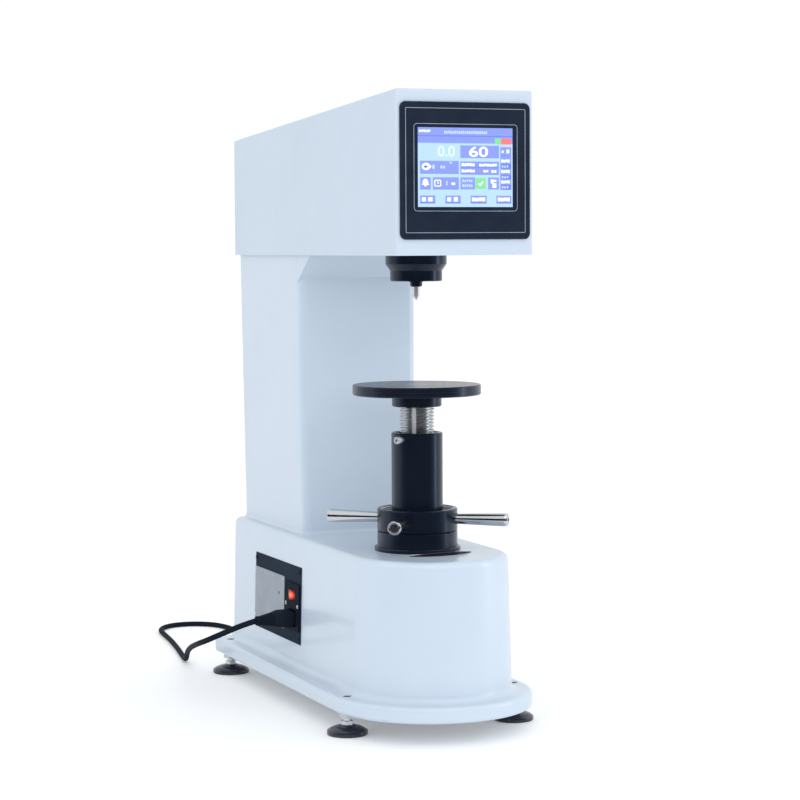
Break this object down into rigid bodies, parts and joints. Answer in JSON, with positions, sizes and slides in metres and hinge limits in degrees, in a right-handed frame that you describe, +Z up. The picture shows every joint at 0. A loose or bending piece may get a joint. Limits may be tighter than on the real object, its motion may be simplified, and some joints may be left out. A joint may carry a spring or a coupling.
{
  "type": "hardness tester",
  "caption": "Bench-top indentation hardness tester with touch display head, deep column, round anvil on an elevating screw with a four-bar handwheel, levelling feet and a mains lead.",
  "frame": {"origin": "centre of the footprint at the bench plane, under the four levelling pads, the mains lead left out", "axes": "+Z up, display side towards -Y, +X to the right of someone facing the display"},
  "size_m": [0.3264, 0.9275, 0.7295],
  "materials": {
    "casting_paint": "light grey enamel on cast iron",
    "cover_paint": "light grey powder coat on sheet steel",
    "black_plastic": "black moulded plastic",
    "black_matt": "matt black moulded plastic",
    "screen": "lit liquid crystal display under clear film",
    "ground_steel": "ground and turned steel",
    "polished_chrome": "hard chrome plate",
    "dark_steel": "blackened, oiled steel",
    "bronze": "turned bronze",
    "weights_iron": "machined iron weights",
    "aluminium_part": "aluminium, satin",
    "plate_grey": "bare satin aluminium plate",
    "circuit_green": "solder-masked circuit board",
    "felt_grey": "pressed felt",
    "spring_steel": "oiled spring wire",
    "red_lens": "red translucent rocker, lit",
    "cord_black": "black PVC cord sheath",
    "pad_steel": "zinc-plated steel"
  },
  "bodies": {
    "frame": {"frame_casting": "casting_paint", "head_cover": "cover_paint", "front_bezel": "black_plastic", "display_screen": "screen", "hmi_housing": "black_matt", "control_board": "circuit_green", "nose_ring": "dark_steel", "spindle_bushes": "bronze", "preload_spring": "spring_steel", "fulcrum_bracket": "weights_iron", "fulcrum_pin": "ground_steel", "drive_motor": "black_matt", "linear_encoder": "black_matt", "guide_bush": "bronze", "guide_key": "ground_steel", "support_collar": "dark_steel", "thrust_race_lower": "ground_steel", "thrust_balls": "ground_steel", "rear_door": "cover_paint", "door_screws": "dark_steel", "cover_screws": "dark_steel", "bottom_plate": "aluminium_part", "power_supply": "aluminium_part", "side_panel": "black_plastic", "rating_plate": "plate_grey", "panel_screws": "dark_steel", "inlet_module": "black_plastic", "foot_locknuts": "pad_steel", "cord_connector": "cord_black", "power_cord": "cord_black", "cord_coil": "cord_black", "mains_plug": "cord_black"},
    "handwheel": {"handwheel_hub": "dark_steel", "handle_bars": "polished_chrome", "elevating_nut": "bronze", "dust_sleeve": "dark_steel", "sleeve_screw": "polished_chrome", "wiper_ring": "felt_grey", "thrust_race_upper": "ground_steel"},
    "screw": {"elevating_screw": "ground_steel"},
    "anvil_table": {"anvil": "dark_steel"},
    "spindle_group": {"spindle": "ground_steel", "indenter_nut": "dark_steel", "indenter": "polished_chrome"},
    "lever": {"load_lever": "ground_steel", "knife_edges": "dark_steel"},
    "hanger": {"hanger_rod": "ground_steel", "weight_large": "weights_iron", "weight_medium": "weights_iron", "weight_small": "weights_iron"},
    "cam": {"load_cam": "ground_steel"},
    "rocker": {"power_rocker": "red_lens"},
    "foot_front_left": {"foot_stud_front_left": "polished_chrome", "foot_pad_front_left": "black_plastic"},
    "foot_front_right": {"foot_stud_front_right": "polished_chrome", "foot_pad_front_right": "black_plastic"},
    "foot_rear_left": {"foot_stud_rear_left": "polished_chrome", "foot_pad_rear_left": "black_plastic"},
    "foot_rear_right": {"foot_stud_rear_right": "polished_chrome", "foot_pad_rear_right": "black_plastic"}
  },
  "joints": [
    {"name": "handwheel_turn", "type": "hinge", "parent": "frame", "child": "handwheel", "pos_m": [0, -0.135, 0.24], "axis": [0, 0, 1], "range_deg": [-8640, 2520]},
    {"name": "screw_lift", "type": "slide", "parent": "frame", "child": "screw", "axis": [0, 0, 1], "range_m": [-0.0281, 0.0961]},
    {"name": "anvil_swivel", "type": "hinge", "parent": "screw", "child": "anvil_table", "pos_m": [0, -0.135, 0.39], "axis": [0, 0, 1], "continuous": true},
    {"name": "hanger_lift", "type": "slide", "parent": "frame", "child": "hanger", "axis": [0, 0, 1], "range_m": [0, 0.0288]},
    {"name": "lever_tilt", "type": "hinge", "parent": "frame", "child": "lever", "pos_m": [0, -0.153, 0.611], "axis": [1, 0, 0], "range_deg": [0, 4.6]},
    {"name": "spindle_lift", "type": "slide", "parent": "frame", "child": "spindle_group", "axis": [0, 0, 1], "range_m": [0, 0.00145]},
    {"name": "cam_turn", "type": "hinge", "parent": "frame", "child": "cam", "pos_m": [0, 0.115, 0.585], "axis": [1, 0, 0], "range_deg": [0, 180.2]},
    {"name": "rocker_press", "type": "hinge", "parent": "frame", "child": "rocker", "pos_m": [-0.09029, 0.037, 0.13143], "axis": [0.0253, 0, 0.9997], "range_deg": [-16, 0]},
    {"name": "foot_front_left_height", "type": "slide", "parent": "frame", "child": "foot_front_left", "axis": [0, 0, 1], "range_m": [-0.008, 0.003]},
    {"name": "foot_front_right_height", "type": "slide", "parent": "frame", "child": "foot_front_right", "axis": [0, 0, 1], "range_m": [-0.008, 0.003]},
    {"name": "foot_rear_left_height", "type": "slide", "parent": "frame", "child": "foot_rear_left", "axis": [0, 0, 1], "range_m": [-0.008, 0.003]},
    {"name": "foot_rear_right_height", "type": "slide", "parent": "frame", "child": "foot_rear_right", "axis": [0, 0, 1], "range_m": [-0.008, 0.003]}
  ],
  "couplings": [
    {"joint": "screw_lift", "follows": "handwheel_turn", "m_per_rad": -0.00063662},
    {"joint": "lever_tilt", "follows": "hanger_lift", "rad_per_m": 2.7778},
    {"joint": "spindle_lift", "follows": "hanger_lift", "ratio": 0.05},
    {"joint": "cam_turn", "follows": "hanger_lift", "rad_per_m": 109.08}
  ]
}
